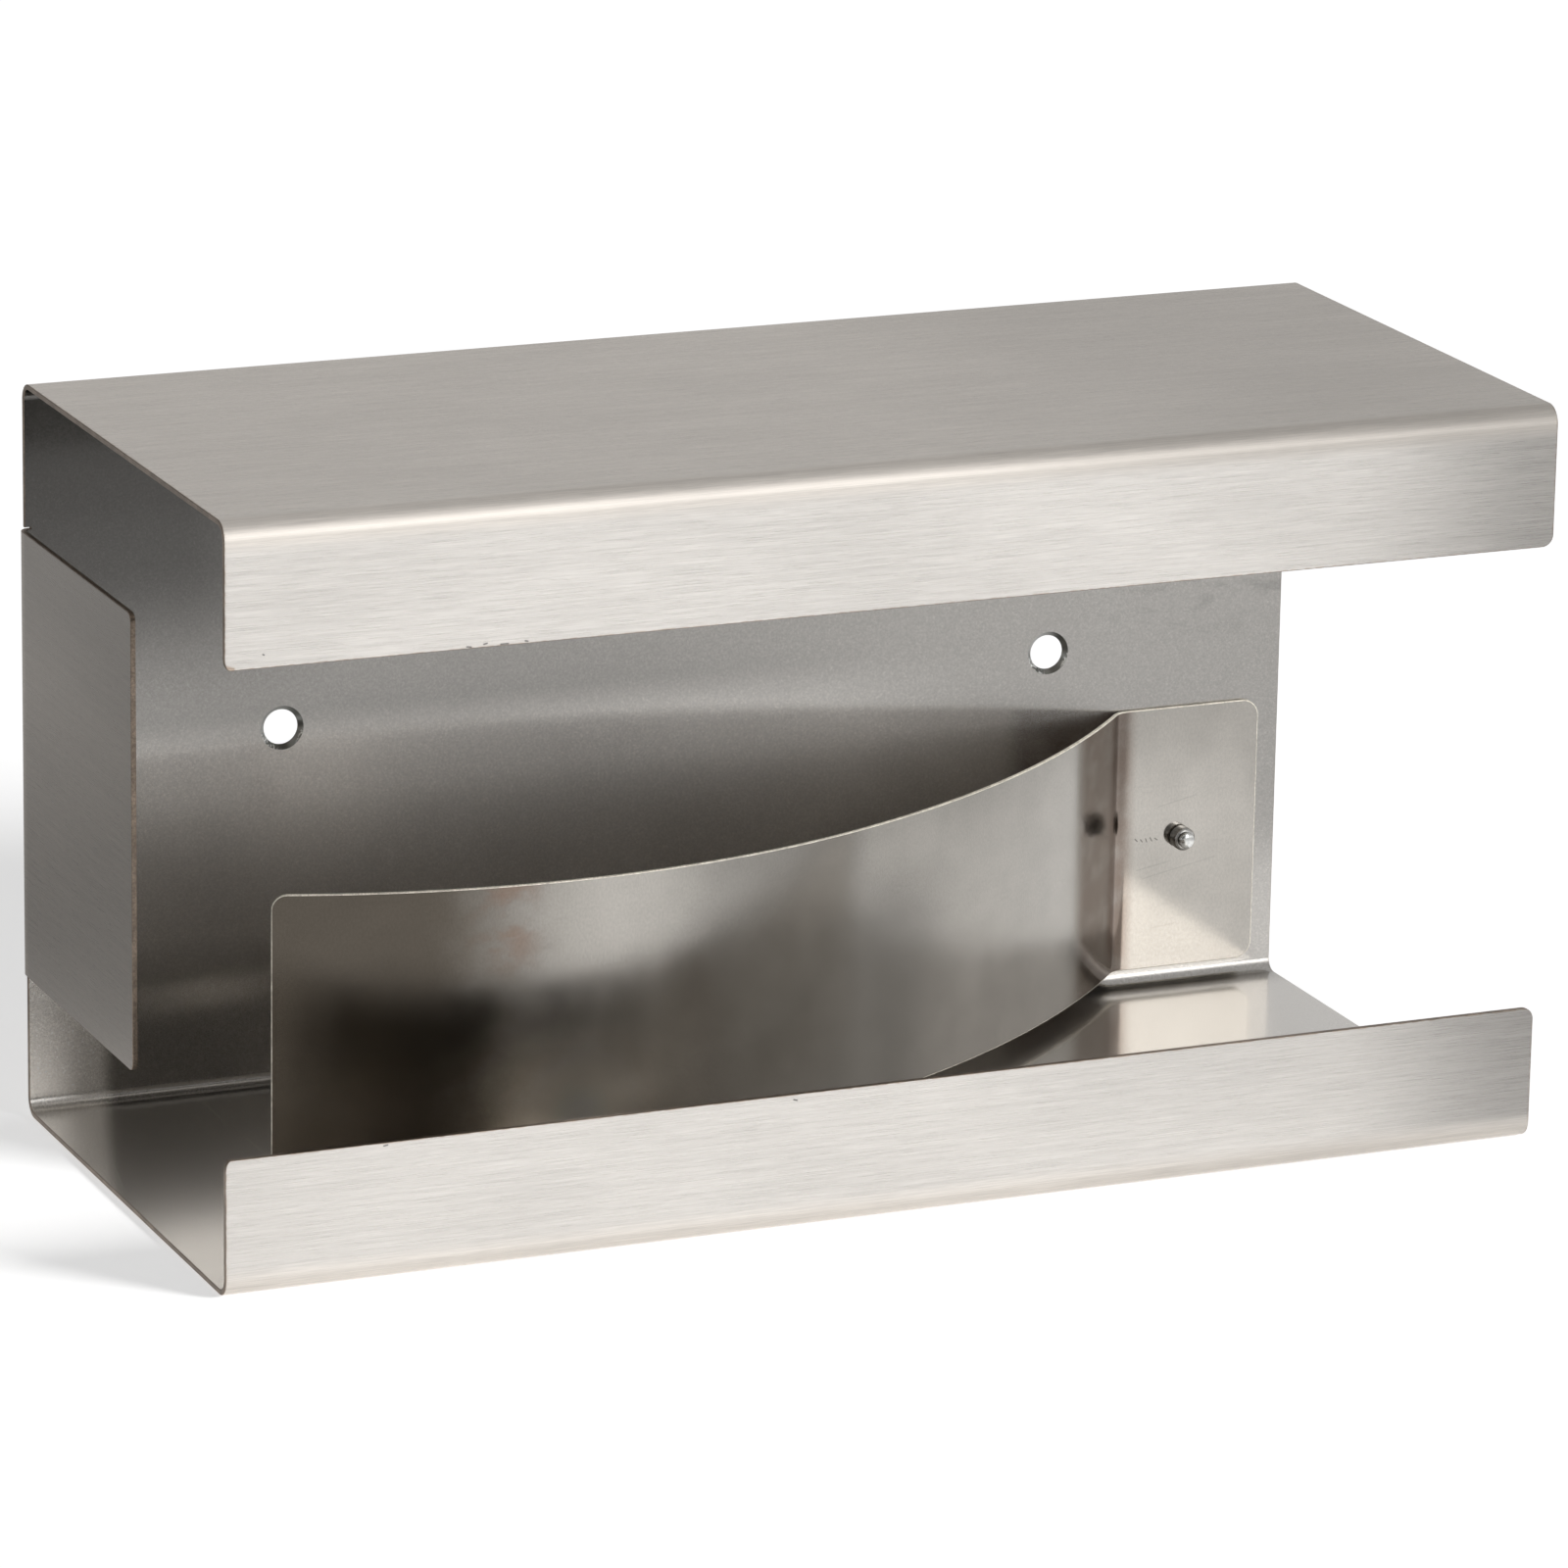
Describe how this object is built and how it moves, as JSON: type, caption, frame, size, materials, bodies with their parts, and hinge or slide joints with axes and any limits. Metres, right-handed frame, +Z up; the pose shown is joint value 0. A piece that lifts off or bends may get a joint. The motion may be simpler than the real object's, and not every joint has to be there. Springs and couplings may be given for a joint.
{
  "type": "disposable glove dispenser",
  "caption": "Wall dispenser for a box of disposable gloves: folded steel housing, open at the front and one end, with a leaf spring that presses the box against the front lips.",
  "frame": {"origin": "on the wall plane, which is the outer face of the back panel, midway between the two wall screw holes", "axes": "+Y into the wall, -Y out of the front towards the user, +X along the dispenser towards its open end, +Z up"},
  "size_m": [0.261, 0.112, 0.142],
  "materials": {
    "brushed_stainless_steel": "brushed along its length, with sheared edges slightly browned by heat",
    "satin_spring_steel": "smooth satin strip with a soft reflection",
    "rivet_steel": "bare drawn steel",
    "mandrel_steel": "bright steel"
  },
  "bodies": {
    "housing": {"housing": "brushed_stainless_steel", "rivet_sleeve": "rivet_steel", "rivet_mandrel": "mandrel_steel"},
    "leaf": {"leaf_spring": "satin_spring_steel"}
  },
  "joints": [
    {"name": "leaf_flex", "type": "hinge", "parent": "housing", "child": "leaf", "pos_m": [0.09313, -0.00289, -0.04], "axis": [0, 0, -1], "range_deg": [0, 14], "stiffness_Nm_per_rad": 4, "deforming": ["leaf_spring"]}
  ]
}
